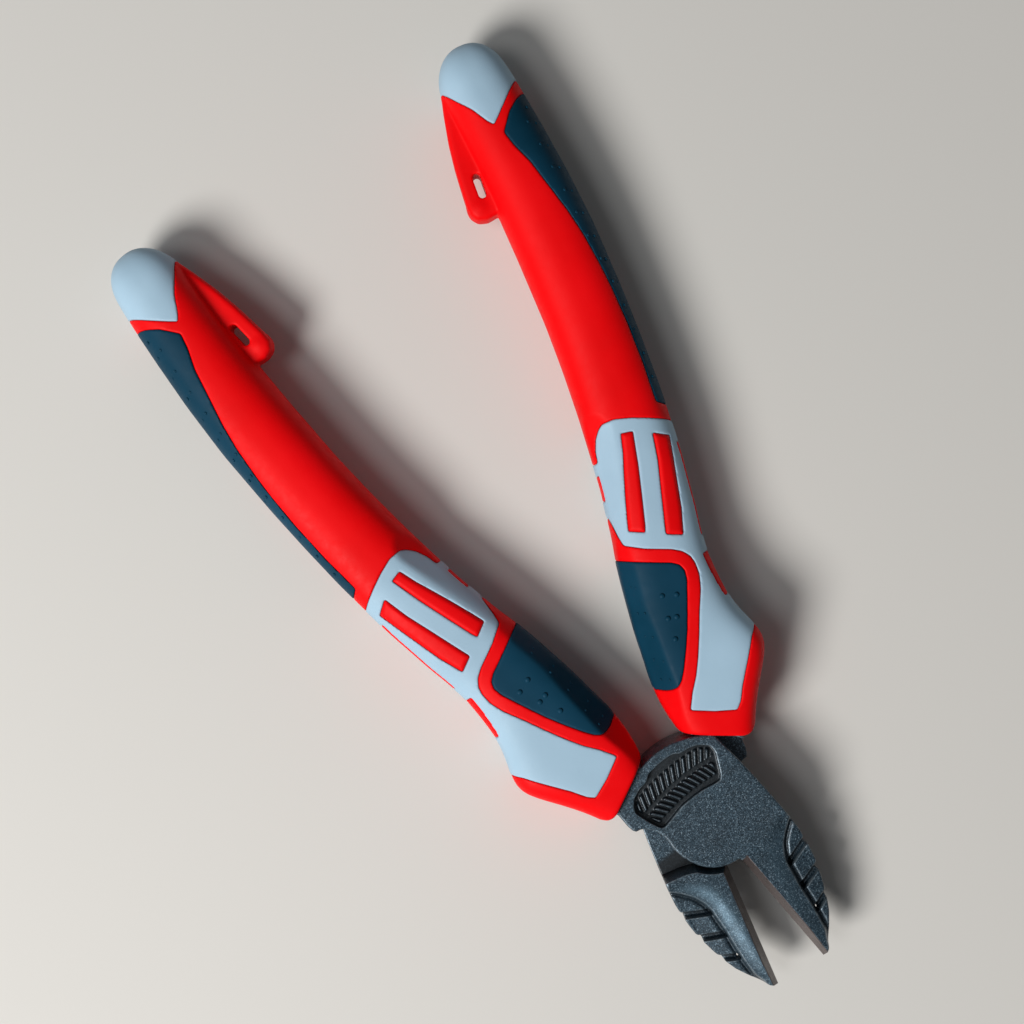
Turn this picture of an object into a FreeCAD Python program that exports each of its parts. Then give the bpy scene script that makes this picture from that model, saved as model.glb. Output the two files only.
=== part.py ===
import FreeCAD, Part
import Sketcher
import math
import os

V3 = FreeCAD.Vector

# Heavy-duty side cutter with three-material over-moulded grips.
#
# Tool frame: the pivot axis is Z, +Z is the front face of the tool, +Y runs
# from the pivot to the jaw tips, the origin lies on the flat back face of
# the joint on the pivot axis.  The upper lever carries the front half of the
# lap joint, its handle runs to +X/-Y and its jaw lies at -X/+Y.  The lower
# lever is its mirror image with the lap halves exchanged.
#
# Each lever is drawn in its own closed frame: u runs along the tool, v runs
# outward on the side of that lever's handle, and the cutting edge is v = 0.
# The lower lever uses x = -v.  Every piece of a lever is then turned by half
# the opening angle about the pivot.

doc = FreeCAD.newDocument("side_cutter")
sheet = doc.addObject("Spreadsheet::Sheet", "Sheet")

DIMS = [
    ("half_open", 8.55, "half of the jaw opening at rest, deg"),
    ("head_thick", 11.6, "thickness of the joint"),
    ("lap_gap", 0.05, "gap between the two lap faces"),
    ("jaw_tip_thick", 6.0, "thickness of the jaws at the tips"),
    ("jaw_root", 9.0, "u where the jaws start to thin"),
    ("jaw_tip", 36.2, "u of the jaw tips"),
    ("edge_gap", 0.015, "half gap between the closed edges"),
    ("bevel_width", 1.5, "plan width of the ground bevel"),
    ("bevel_rise", 5.0, "height of the ground bevel"),
    ("disc_radius", 8.85, "front of the lap disc"),
    ("pocket_radius", 9.3, "wall that the disc turns in"),
    ("lap_radius", 18.0, "back of the lap plate"),
    ("shoulder_radius", 18.35, "start of the full-thickness shoulder"),
    ("tang_thick", 7.0, "thickness of the hidden tang"),
    ("tang_start", -26.0, "u where the tang thins"),
    ("rivet_radius", 4.0, "pivot rivet shank"),
    ("rivet_play", 0.03, "radial running clearance of the rivet"),
    ("rivet_head", 5.4, "countersunk head radius"),
    ("head_depth", 2.4, "countersunk head depth"),
    ("recess_depth", 1.2, "fan-shaped recess in the front disc"),
    ("guard_thick", 19.0, "grip thickness at the guard"),
    ("grip_thick", 16.0, "grip thickness along the handle"),
    ("grip_round", 4.0, "rounding along the grips"),
    ("skin", 1.6, "thickness of the soft skins"),
    ("lug_thick", 7.0, "thickness of the tether lug"),
    ("slot_width", 1.6, "tether slot, across"),
    ("slot_length", 5.2, "tether slot, along"),
    ("tool_height", 60.0, "height of the trimming solids"),
]
for i, (alias, value, note) in enumerate(DIMS):
    row = i + 1
    sheet.set("A%d" % row, note)
    sheet.set("B%d" % row, "%g" % value)
    sheet.setAlias("B%d" % row, alias)
doc.recompute()


def dim(name):
    return float(sheet.get(name))


MID = dim("head_thick") / 2.0

# ----- tables of the outlines, (v, u) in mm ------------------------------

DISC = [(0.2, 8.85), (1.1, 8.75), (2.4, 8.4), (3.9, 7.8), (5.2, 6.95),
        (6.3, 5.85), (7.2, 4.6), (7.95, 3.1), (8.5, 1.4), (8.75, 0.0),
        (8.8, -1.6), (8.67, -2.9), (8.7, -4.2), (9.05, -5.6), (9.8, -6.95),
        (10.6, -7.85), (11.4, -8.35), (12.3, -8.55), (12.7, -9.2),
        (12.9, -10.4), (12.9, -13.3)]
TANG = [(13.6, -15.5), (16.2, -20.0), (16.8, -28.0), (16.3, -40.0),
        (16.4, -50.0), (19.0, -65.0), (21.4, -85.0), (22.0, -100.0),
        (21.8, -120.0), (20.3, -136.0), (18.9, -139.5), (17.2, -140.5),
        (15.5, -139.5), (14.2, -136.0), (14.0, -120.0), (13.8, -100.0),
        (12.8, -85.0), (11.2, -70.0), (8.6, -55.0), (7.2, -45.0),
        (6.2, -35.0), (5.4, -28.0), (4.8, -22.0), (4.2, -19.4),
        (3.2, -17.7)]
BACK = [(1.6, -17.93), (0.0, -18.0), (-1.6, -17.93), (-3.2, -17.71),
        (-5.0, -17.29), (-6.75, -16.69), (-8.2, -16.02), (-9.65, -15.2),
        (-11.0, -14.25), (-12.1, -13.25)]
OUTER = [(-12.35, -10.3), (-12.7, -6.0), (-13.0, 0.0), (-13.1, 5.0),
         (-13.1, 9.0), (-12.95, 12.5), (-12.55, 15.0), (-12.05, 17.5),
         (-11.5, 19.6), (-10.6, 22.0), (-9.55, 24.5), (-8.45, 26.8),
         (-6.85, 29.5), (-4.6, 32.2)]
RECESS = [(4.05, -15.0), (3.0, -15.8), (1.3, -15.95), (-1.3, -16.0),
          (-3.35, -15.7), (-4.5, -14.85), (-6.7, -14.5), (-8.4, -13.8),
          (-10.1, -12.2), (-10.1, -10.5), (-8.0, -6.4), (-7.2, -5.6),
          (-6.0, -5.75), (-3.3, -6.35), (-0.7, -6.6), (2.1, -6.6),
          (5.1, -6.0), (7.4, -5.6), (8.15, -6.1), (9.05, -8.3),
          (10.0, -11.4), (9.4, -12.8), (8.3, -13.85), (6.4, -14.6),
          (4.7, -14.8)]
POCKET_WALL = [(-20.0, 6.8), (-9.2, 6.6), (-7.6, 6.75), (-6.0, 7.106)]

# grip silhouette: u, inner v, outer v, thickness as a share of grip_thick
# (third number) and of guard_thick (fourth number)
GRIP = [
    (-13.0, 2.9, 15.7, 0.00, 0.80),
    (-17.5, 2.1, 17.6, 0.00, 0.88),
    (-22.0, 1.0, 20.3, 0.00, 0.96),
    (-26.0, 0.5, 22.8, 0.00, 1.00),
    (-30.0, 0.55, 24.6, 0.00, 1.00),
    (-34.0, 0.9, 23.8, 0.05, 0.93),
    (-38.5, 1.3, 22.2, 0.20, 0.76),
    (-44.5, 2.0, 21.5, 0.50, 0.46),
    (-50.7, 2.8, 21.4, 0.80, 0.17),
    (-56.0, 3.8, 22.2, 0.97, 0.00),
    (-65.0, 5.6, 23.7, 0.97, 0.00),
    (-76.0, 7.3, 25.1, 0.98, 0.00),
    (-90.0, 8.7, 26.2, 1.00, 0.00),
    (-105.0, 9.5, 26.75, 1.00, 0.00),
    (-120.0, 9.6, 26.7, 1.00, 0.00),
    (-135.0, 9.3, 25.7, 0.99, 0.00),
    (-147.0, 8.8, 24.5, 0.96, 0.00),
    (-155.0, 8.6, 23.4, 0.90, 0.00),
    (-159.5, 9.2, 22.2, 0.78, 0.00),
    (-162.5, 11.0, 20.3, 0.58, 0.00),
    (-164.2, 13.0, 17.6, 0.30, 0.00),
]
GRIP_FRONT = [(-5.0, -21.0), (1.0, -19.7), (2.1, -19.1), (13.2, -14.1),
              (14.9, -14.0), (16.2, -14.8), (25.0, -15.6), (25.0, 0.0),
              (-5.0, 0.0)]

CAP = [(-4.0, -155.9), (8.7, -155.9), (10.6, -152.75), (12.8, -149.8),
       (14.5, -146.5), (15.6, -145.1), (17.0, -146.4), (19.4, -148.65),
       (23.3, -152.7), (36.0, -152.7), (36.0, -175.0), (-4.0, -175.0)]
STRIP = [(34.0, -149.6), (23.9, -149.6), (21.9, -148.4), (19.5, -146.4),
         (16.8, -143.0), (17.6, -139.9), (19.3, -135.6), (20.5, -130.7),
         (22.3, -123.65), (23.3, -118.2), (24.0, -111.5), (24.3, -106.6),
         (24.4, -98.8), (24.1, -89.9), (23.7, -85.5), (23.4, -81.9),
         (25.3, -80.7), (34.0, -80.7)]
PAD = [(-6.0, -55.4), (3.9, -55.4), (6.7, -54.1), (10.0, -52.6),
       (13.4, -51.1), (14.7, -50.1), (15.2, -48.7), (14.8, -46.7),
       (12.9, -42.2), (11.0, -37.9), (8.9, -33.9), (7.1, -30.8),
       (5.9, -29.0), (4.8, -28.05), (3.6, -27.8), (2.3, -28.05),
       (0.85, -28.7), (-6.0, -28.7)]
CAGE = [(-2.0, -75.2), (8.0, -75.2), (8.5, -77.5), (9.5, -79.8),
        (10.7, -81.3), (11.7, -82.0), (14.2, -82.0), (17.5, -80.9),
        (20.5, -79.6), (23.0, -78.4), (25.2, -77.2), (34.0, -77.2),
        (34.0, -33.0), (23.8, -33.0), (22.2, -31.4),
        (20.5, -28.9), (18.4, -25.9), (16.7, -23.4), (15.0, -20.6),
        (13.8, -19.9), (9.6, -20.9), (5.2, -22.8), (6.9, -25.9),
        (8.9, -28.7), (10.7, -31.9), (12.7, -35.9), (14.5, -39.8),
        (16.7, -44.1), (17.6, -46.8), (17.75, -49.2), (17.4, -50.8),
        (16.3, -52.3), (14.5, -53.5), (9.6, -55.7), (6.1, -57.8),
        (6.15, -61.3), (6.05, -64.3), (-2.0, -64.3)]
WINDOW_1 = [(14.4, -78.6), (16.8, -78.1), (15.1, -71.4), (13.5, -66.0),
            (11.6, -59.8), (11.1, -58.6), (8.1, -60.1), (8.7, -62.0),
            (10.1, -66.2), (11.6, -70.4), (13.3, -74.9)]
WINDOW_2 = [(20.3, -76.3), (23.3, -74.5), (22.1, -69.7), (21.0, -65.4),
            (19.7, -60.3), (17.9, -55.2), (14.7, -56.7), (15.7, -59.9),
            (17.5, -65.8), (19.1, -70.9), (19.95, -74.7)]
LUG = [(9.6, -155.0), (8.3, -154.6), (7.1, -151.2), (5.9, -146.4),
       (5.1, -141.0), (4.6, -136.5), (4.3, -133.0), (4.5, -131.2),
       (5.4, -129.9), (7.2, -129.2), (9.4, -129.6), (12.0, -130.2),
       (12.0, -150.0)]
SLOT_AT = (8.3, -136.0)


def plane_of(body, role):
    for feature in body.Origin.OriginFeatures:
        if feature.Role == role:
            return feature
    raise RuntimeError(role)


def sketch_in(body, name, role, offset=0.0):
    sk = body.newObject("Sketcher::SketchObject", name)
    sk.AttachmentSupport = [(plane_of(body, role), "")]
    sk.MapMode = "FlatFace"
    sk.AttachmentOffset = FreeCAD.Placement(V3(0, 0, offset),
                                            FreeCAD.Rotation())
    return sk


def add_loop(sk, points):
    """Closed chain of lines through 2-D points, with its corners joined."""
    first = sk.GeometryCount
    count = len(points)
    for i in range(count):
        a, b = points[i], points[(i + 1) % count]
        sk.addGeometry(Part.LineSegment(V3(a[0], a[1], 0),
                                        V3(b[0], b[1], 0)), False)
    for i in range(count):
        sk.addConstraint(Sketcher.Constraint(
            "Coincident", first + i, 2, first + (i + 1) % count, 1))


def add_circle(sk, radius_expression, start=1.0):
    """Circle on the sketch origin whose radius follows the sheet."""
    g = sk.addGeometry(Part.Circle(V3(0, 0, 0), V3(0, 0, 1), start), False)
    sk.addConstraint(Sketcher.Constraint("Coincident", g, 3, -1, 1))
    k = sk.addConstraint(Sketcher.Constraint("Radius", g, start))
    sk.setExpression("Constraints[%d]" % k, radius_expression)


def arc_points(radius, start_deg, end_deg, steps):
    out = []
    for i in range(steps + 1):
        a = math.radians(start_deg + (end_deg - start_deg) * i / steps)
        out.append((radius * math.cos(a), radius * math.sin(a)))
    return out


def flip(points, s):
    return [(s * p[0], p[1]) for p in points]


def cut_checked(feature, body):
    """A pocket must take material away."""
    before = feature.BaseFeature.Shape.Volume if feature.BaseFeature else None
    doc.recompute()
    if before is not None and not feature.Shape.Volume < before - 1e-6:
        feature.Reversed = not feature.Reversed
        doc.recompute()
    if before is not None and not feature.Shape.Volume < before - 1e-6:
        raise RuntimeError("nothing cut by " + feature.Name)


def turn(obj, s):
    """Turn a finished piece about the pivot by half the opening."""
    obj.Placement = FreeCAD.Placement(
        V3(0, 0, 0), FreeCAD.Rotation(V3(0, 0, s), dim("half_open")))
    obj.setExpression("Placement.Rotation.Angle", "Sheet.half_open")


# ----- levers ------------------------------------------------------------

def make_lever(name, s, front):
    """One forged lever: jaw, half of the lap joint and hidden tang."""
    body = doc.addObject("PartDesign::Body", name)
    body.Label = name
    gap = dim("edge_gap")
    tip = dim("jaw_tip")
    outline = ([(-gap, tip), (-gap, 9.0)] + DISC + TANG + BACK + OUTER
               + [(-1.8, tip - 0.8)])
    sk = sketch_in(body, name + "_outline", "XY_Plane")
    add_loop(sk, flip(outline, s))
    pad = body.newObject("PartDesign::Pad", name + "_forging")
    pad.Profile = sk
    pad.setExpression("Length", "Sheet.head_thick")
    doc.recompute()

    # jaws thin towards the tips and the tang is thinner than the joint:
    # four side-view cuts through the whole width
    side = sketch_in(body, name + "_side_view", "YZ_Plane")
    ht = dim("head_thick")
    jr, jt = dim("jaw_root"), dim("jaw_tip")
    lip = (ht - dim("jaw_tip_thick")) / 2.0
    slope = lip / (jt - jr)
    over = lip + slope * 4.0
    tz = (ht - dim("tang_thick")) / 2.0
    ts = dim("tang_start")
    add_loop(side, [(jr, ht), (jt + 4.0, ht - over), (jt + 4.0, ht + 5.0),
                    (jr, ht + 5.0)])
    add_loop(side, [(jr, 0.0), (jr, -5.0), (jt + 4.0, -5.0),
                    (jt + 4.0, over)])
    add_loop(side, [(ts, ht + 5.0), (ts, ht), (ts - 4.0, ht - tz),
                    (-150.0, ht - tz), (-150.0, ht + 5.0)])
    add_loop(side, [(ts, -5.0), (-150.0, -5.0), (-150.0, tz),
                    (ts - 4.0, tz), (ts, 0.0)])
    cut = body.newObject("PartDesign::Pocket", name + "_thinning")
    cut.Profile = side
    cut.Type = 1
    cut.Midplane = True
    cut_checked(cut, body)

    # half of the thickness is cut away where the other lever's plate turns
    pr = dim("pocket_radius")
    sr = dim("shoulder_radius")
    start = math.degrees(math.atan2(POCKET_WALL[-1][1], POCKET_WALL[-1][0]))
    lap = (POCKET_WALL[:-1] + arc_points(pr, start, 88.0, 10)
           + [(0.4, 13.0), (22.0, 13.0), (22.0, -5.0)]
           + arc_points(sr, -19.0, -140.0, 28) + [(-20.0, -11.5)])
    if front:
        lap_sk = sketch_in(body, name + "_lap", "XY_Plane", 0.0)
    else:
        lap_sk = sketch_in(body, name + "_lap", "XY_Plane", ht)
    add_loop(lap_sk, flip(lap, s))
    lap_cut = body.newObject("PartDesign::Pocket", name + "_lap_cut")
    lap_cut.Profile = lap_sk
    lap_cut.Type = 0
    lap_cut.Length = ht / 2.0 + dim("lap_gap") / 2.0
    lap_cut.setExpression("Length",
                          "Sheet.head_thick / 2 + Sheet.lap_gap / 2")
    lap_cut.Reversed = bool(front)
    cut_checked(lap_cut, body)

    # ground bevels above and below the cutting edge
    bevel = sketch_in(body, name + "_bevel", "XZ_Plane", -9.6)
    w, rise = dim("bevel_width"), dim("bevel_rise")
    k = 8.0 / rise
    add_loop(bevel, flip([(-gap, MID + 0.02), (-gap - w * k, MID + 8.02),
                          (3.0, MID + 8.02), (3.0, MID + 0.02)], s))
    add_loop(bevel, flip([(-gap, MID - 0.02), (3.0, MID - 0.02),
                          (3.0, MID - 8.02), (-gap - w * k, MID - 8.02)], s))
    grind = body.newObject("PartDesign::Pocket", name + "_grinding")
    grind.Profile = bevel
    grind.Type = 0
    grind.Length = 40.0
    cut_checked(grind, body)

    # bore: a press seat in the lower lever, a running seat in the upper
    bore = sketch_in(body, name + "_bore", "XY_Plane", 0.0)
    if front:
        add_circle(bore, "Sheet.rivet_radius + Sheet.rivet_play", 4.0)
    else:
        add_circle(bore, "Sheet.rivet_radius", 4.0)
    hole = body.newObject("PartDesign::Pocket", name + "_bore_cut")
    hole.Profile = bore
    hole.Type = 1
    hole.Midplane = True
    cut_checked(hole, body)

    # countersink for the rivet head, turned about the pivot axis
    rr, rh, hd = dim("rivet_radius"), dim("rivet_head"), dim("head_depth")
    play = dim("rivet_play") if front else 0.0
    sink = sketch_in(body, name + "_sink", "XZ_Plane")
    if front:
        top = ht
        add_loop(sink, [(0.0, top - hd), (rr + play, top - hd),
                        (rh + play, top), (rh + play, top + 1.0),
                        (0.0, top + 1.0)])
    else:
        add_loop(sink, [(0.0, hd), (0.0, -1.0), (rh, -1.0), (rh, 0.0),
                        (rr, hd)])
    groove = body.newObject("PartDesign::Groove", name + "_sink_cut")
    groove.Profile = sink
    groove.ReferenceAxis = (sink, ["V_Axis"])
    groove.Angle = 360.0
    cut_checked(groove, body)

    if front:
        fan = sketch_in(body, name + "_fan", "XY_Plane", ht)
        add_loop(fan, flip(RECESS, s))
        recess = body.newObject("PartDesign::Pocket", name + "_fan_recess")
        recess.Profile = fan
        recess.Type = 0
        recess.Length = dim("recess_depth")
        recess.setExpression("Length", "Sheet.recess_depth")
        cut_checked(recess, body)
    body.Tip = body.Group[-1]
    turn(body, s)
    return body


# ----- grips -------------------------------------------------------------

def smooth(points):
    curve = Part.BSplineCurve()
    curve.interpolate(points)
    return curve.toShape()


def grip_blank(s):
    """Handle blank: plan outline crossed with side outline, edges rounded."""
    rows = [g for g in GRIP if g[0] > -156.0]
    inner = [V3(s * g[1], g[0], 0.0) for g in rows]
    outer = [V3(s * g[2], g[0], 0.0) for g in rows]
    dome = smooth([inner[-1], V3(s * 9.2, -159.3, 0), V3(s * 11.2, -162.6, 0),
                   V3(s * 15.0, -164.5, 0), V3(s * 19.0, -163.0, 0),
                   V3(s * 22.0, -159.3, 0), outer[-1]])
    lip = Part.LineSegment(outer[0], inner[0]).toShape()
    wire = Part.Wire(Part.__sortEdges__([smooth(inner), smooth(outer),
                                         dome, lip]))
    plan = Part.Face(wire).extrude(V3(0, 0, 40.0))
    plan.translate(V3(0, 0, MID - 20.0))

    half = [(g[0], (g[3] * dim("grip_thick") + g[4] * dim("guard_thick"))
             / 2.0) for g in rows]
    half += [(-160.0, 6.2), (-163.5, 4.6), (-166.5, 2.2)]
    top = smooth([V3(0, u, MID + z) for u, z in half])
    low = smooth([V3(0, u, MID - z) for u, z in half])
    ends = [Part.LineSegment(V3(0, u, MID + z), V3(0, u, MID - z)).toShape()
            for u, z in (half[0], half[-1])]
    wire = Part.Wire(Part.__sortEdges__([top, low] + ends))
    view = Part.Face(wire).extrude(V3(90.0, 0, 0))
    view.translate(V3(-45.0, 0, 0))

    body = plan.common(view)
    long_edges = [e for e in body.Edges
                  if e.BoundBox.YLength > 20.0
                  or (e.BoundBox.ZLength < 12.0 and e.BoundBox.YMax < -150.0)]
    return body.makeFillet(dim("grip_round"), long_edges)


def spine_outline():
    """Plan outline of the hard core under the soft skins."""
    inset = dim("skin") + 1.0
    rows = [g for g in GRIP if -156.0 < g[0] < -20.0]
    inner = [(g[1] + inset, g[0]) for g in rows]
    outer = [(g[2] - inset, g[0]) for g in rows]
    return inner + [(14.0, -159.0), (18.5, -159.0)] + outer[::-1]


def prism(name, points, s, height="Sheet.tool_height"):
    """Trimming solid: a plan outline extruded through the handle."""
    sk = doc.addObject("Sketcher::SketchObject", name + "_sketch")
    sk.Placement = FreeCAD.Placement(V3(0, 0, MID), FreeCAD.Rotation())
    add_loop(sk, flip(points, s))
    ex = doc.addObject("Part::Extrusion", name)
    ex.Base = sk
    ex.DirMode = "Normal"
    ex.LengthFwd = 60.0
    ex.setExpression("LengthFwd", height)
    ex.Symmetric = True
    ex.Solid = True
    return ex


def boolean(kind, name, base, tool):
    obj = doc.addObject("Part::" + kind, name)
    obj.Base = base
    obj.Tool = tool
    return obj


def fuse_all(name, items):
    obj = doc.addObject("Part::MultiFuse", name)
    obj.Shapes = items
    return obj


def make_grip(prefix, s):
    """Hard core, end cap, back strip, cage and thumb pad of one handle."""
    raw = doc.addObject("Part::Feature", prefix + "_blank")
    raw.Shape = grip_blank(s)
    hard = prism(prefix + "_spine", spine_outline(), s,
                 "Sheet.grip_thick - 2 * Sheet.skin")
    front = prism(prefix + "_front_trim", GRIP_FRONT, s)
    blank = boolean("Cut", prefix + "_trimmed", raw, front)

    # the tang shape that the core is moulded around
    tang = prism(prefix + "_tang_room", [(13.6, -15.5)] + TANG[1:-2]
                 + [(4.2, -19.4), (4.2, -12.0), (13.6, -12.0)], s,
                 "Sheet.tang_thick")
    shoulder = prism(prefix + "_shoulder_room", shoulder_outline(), s,
                     "Sheet.head_thick")
    # the other lever's plate turns under the front lip of the grip
    turning = doc.addObject("Part::Cylinder", prefix + "_plate_room")
    turning.setExpression("Radius", "Sheet.shoulder_radius + 0.05")
    turning.setExpression("Height", "Sheet.head_thick + 0.6")
    turning.Placement = FreeCAD.Placement(V3(0, 0, -0.3),
                                          FreeCAD.Rotation())
    room = fuse_all(prefix + "_steel_room", [tang, shoulder, turning])

    cap_p = prism(prefix + "_cap_plan", CAP, s)
    strip_p = prism(prefix + "_strip_plan", STRIP, s)
    pad_p = prism(prefix + "_pad_plan", PAD, s)
    cage_p = prism(prefix + "_cage_plan", CAGE, s)
    win_1 = prism(prefix + "_window_1", WINDOW_1, s)
    win_2 = prism(prefix + "_window_2", WINDOW_2, s)
    wins = fuse_all(prefix + "_windows", [win_1, win_2])
    cage_w = boolean("Cut", prefix + "_cage_frame", cage_p, wins)

    # each skin fills its plan outline down to the hard spine
    pieces = {}
    rooms = []
    for node, plan in (("cap", cap_p), ("strip", strip_p),
                       ("pad", pad_p), ("cage", cage_w)):
        space = boolean("Cut", prefix + "_" + node + "_room", plan, hard)
        rooms.append(space)
        piece = boolean("Common", prefix + "_" + node, blank, space)
        if node == "cage":
            # the guard panel lies on the steel shoulder
            piece = boolean("Cut", prefix + "_cage_fitted", piece, room)
        pieces[node] = piece

    lug_plan = prism(prefix + "_lug_plan", LUG, s, "Sheet.lug_thick")
    with_lug = boolean("Fuse", prefix + "_with_lug", blank, lug_plan)
    bare = with_lug
    for i, space in enumerate(rooms):
        bare = boolean("Cut", prefix + "_bare_%d" % i, bare, space)
    bare = boolean("Cut", prefix + "_moulded", bare, room)
    slot = prism(prefix + "_slot", slot_outline(), s)
    pieces["core"] = boolean("Cut", prefix + "_core", bare, slot)
    doc.recompute()
    return pieces


def shoulder_outline():
    """Full-thickness steel between the joint and the thin tang."""
    return [(12.92, -11.8), (12.92, -13.3), (13.62, -15.5), (16.22, -20.0),
            (16.82, -28.0), (16.72, -30.3), (5.64, -30.3), (5.38, -28.0),
            (4.78, -22.0), (4.18, -19.4), (3.18, -17.7), (3.18, -11.8)]


def slot_outline():
    """Rounded slot, leaning with the inner side of the handle."""
    half = dim("slot_length") / 2.0 - dim("slot_width") / 2.0
    r = dim("slot_width") / 2.0
    lean = math.radians(3.0)
    out = []
    for end in (1.0, -1.0):
        for i in range(9):
            a = math.pi * i / 8.0
            x = end * r * math.cos(a)
            y = end * (half + r * math.sin(a))
            out.append((SLOT_AT[0] + x * math.cos(lean) - y * math.sin(lean),
                        SLOT_AT[1] + x * math.sin(lean) + y * math.cos(lean)))
    return out


nodes = {}
nodes["upper_lever"] = make_lever("upper_lever", 1.0, True)
nodes["lower_lever"] = make_lever("lower_lever", -1.0, False)

# pivot rivet: shank and two countersunk heads, one turned profile
rivet = doc.addObject("PartDesign::Body", "pivot_rivet")
rivet.Label = "pivot_rivet"
profile = sketch_in(rivet, "rivet_profile", "XZ_Plane")
rr, rh, hd = dim("rivet_radius"), dim("rivet_head"), dim("head_depth")
top_z = dim("head_thick")
add_loop(profile, [(0.0, 0.0), (rh, 0.0), (rr, hd), (rr, top_z - hd),
                   (rh, top_z), (0.0, top_z)])
k = profile.addConstraint(Sketcher.Constraint("DistanceY", 2, 1, 2, 2,
                                              top_z - 2.0 * hd))
profile.setExpression("Constraints[%d]" % k,
                      "Sheet.head_thick - 2 * Sheet.head_depth")
turned = rivet.newObject("PartDesign::Revolution", "rivet_turned")
turned.Profile = profile
turned.ReferenceAxis = (profile, ["V_Axis"])
turned.Angle = 360.0
rivet.Tip = turned
doc.recompute()
nodes["pivot_rivet"] = rivet

NAMES = {"core": "grip_core", "cap": "end_cap", "strip": "back_strip",
         "cage": "grip_cage", "pad": "thumb_pad"}
for prefix, s in (("upper", 1.0), ("lower", -1.0)):
    made = make_grip(prefix, s)
    for key, obj in made.items():
        # a separate finished piece, turned with its lever
        final = doc.addObject("Part::Compound",
                              prefix + "_" + NAMES[key])
        final.Label = prefix + "_" + NAMES[key]
        final.Links = [obj]
        turn(final, s)
        nodes[prefix + "_" + NAMES[key]] = final
doc.recompute()

bad = []
for obj in doc.Objects:
    if "Invalid" in obj.State or "Error" in obj.State:
        bad.append("%s: %s" % (obj.Name, obj.State))
for name, obj in nodes.items():
    shape = obj.Shape
    if shape.isNull() or not shape.isValid() or not shape.Solids:
        bad.append(name + ": bad shape")
if bad:
    raise RuntimeError("; ".join(bad))

os.makedirs("parts", exist_ok=True)
for name, obj in nodes.items():
    shape = obj.Shape
    solids = shape.Solids
    print("%-18s solids %d  volume %9.1f  box %s" % (
        name, len(solids), shape.Volume,
        ["%.2f" % c for c in (shape.BoundBox.XMin, shape.BoundBox.YMin,
                              shape.BoundBox.ZMin, shape.BoundBox.XMax,
                              shape.BoundBox.YMax, shape.BoundBox.ZMax)]))
    shape.exportStep("parts/" + name + ".step")
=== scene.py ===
import bpy
import math
import numpy as np
import openvdb
from mathutils import Matrix, Vector


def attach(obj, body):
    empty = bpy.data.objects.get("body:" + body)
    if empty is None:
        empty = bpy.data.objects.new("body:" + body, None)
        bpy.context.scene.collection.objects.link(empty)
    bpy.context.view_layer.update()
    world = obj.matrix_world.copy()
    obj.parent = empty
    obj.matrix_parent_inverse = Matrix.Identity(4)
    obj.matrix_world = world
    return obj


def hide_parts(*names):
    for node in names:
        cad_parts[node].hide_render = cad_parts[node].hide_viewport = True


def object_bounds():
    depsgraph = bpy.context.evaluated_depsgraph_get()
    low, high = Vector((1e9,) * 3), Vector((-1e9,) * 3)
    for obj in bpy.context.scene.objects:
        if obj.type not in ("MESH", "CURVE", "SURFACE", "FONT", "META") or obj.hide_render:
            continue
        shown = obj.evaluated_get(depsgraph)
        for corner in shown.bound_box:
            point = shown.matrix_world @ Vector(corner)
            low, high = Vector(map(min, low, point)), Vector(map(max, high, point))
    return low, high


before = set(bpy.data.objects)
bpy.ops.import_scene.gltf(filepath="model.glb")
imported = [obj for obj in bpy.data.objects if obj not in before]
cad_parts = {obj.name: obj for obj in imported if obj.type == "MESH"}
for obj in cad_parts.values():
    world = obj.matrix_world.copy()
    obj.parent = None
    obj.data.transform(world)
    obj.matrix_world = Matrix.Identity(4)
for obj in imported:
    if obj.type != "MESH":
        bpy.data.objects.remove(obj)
CAD_BOX = [list(c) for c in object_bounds()]

MM = 0.001
MID = 5.8                       # mid-plane of the tool above the joint's back
HALF = math.radians(8.55)       # half of the rest opening
H_GRIP = 0.25
H_HEAD = 0.15
F = np.float32

# --------------------------------------------------------------------------
# tables, (v, u) in mm in the closed frame of one lever
# --------------------------------------------------------------------------
GRIP = np.array([
    # u, inner v, outer v, half thickness, section power
    (-10.0, 3.2, 14.9, 7.0, 3.8), (-14.0, 2.8, 16.0, 7.8, 3.8),
    (-18.0, 2.0, 17.9, 8.5, 4.0), (-22.0, 1.0, 20.3, 9.1, 4.2),
    (-26.0, 0.5, 23.0, 9.45, 4.2), (-29.0, 0.5, 24.7, 9.5, 4.2),
    (-31.5, 0.6, 24.8, 9.45, 4.0), (-34.0, 0.9, 23.9, 9.3, 3.8),
    (-37.0, 1.15, 22.7, 8.95, 3.6), (-40.4, 1.4, 21.8, 8.6, 3.3),
    (-45.0, 2.0, 21.5, 8.25, 3.1), (-50.7, 2.8, 21.4, 8.0, 3.0),
    (-56.0, 3.7, 22.2, 7.85, 2.9), (-60.0, 4.7, 23.0, 7.78, 2.9),
    (-65.0, 5.6, 23.7, 7.75, 2.9), (-70.0, 6.5, 24.5, 7.75, 2.8),
    (-76.0, 7.2, 25.1, 7.8, 2.7), (-85.0, 8.2, 25.9, 7.9, 2.55),
    (-95.0, 9.0, 26.4, 8.0, 2.45), (-105.0, 9.5, 26.7, 8.0, 2.4),
    (-120.0, 9.6, 26.7, 8.0, 2.4), (-132.0, 9.45, 26.0, 7.95, 2.4),
    (-143.0, 9.0, 24.9, 7.8, 2.4), (-151.0, 8.6, 23.95, 7.5, 2.4),
    (-156.0, 8.4, 23.15, 7.2, 2.4), (-166.0, 8.2, 22.6, 7.0, 2.4)], float)
END_U, END_L, END_P = -154.5, 9.4, 2.15

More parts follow.
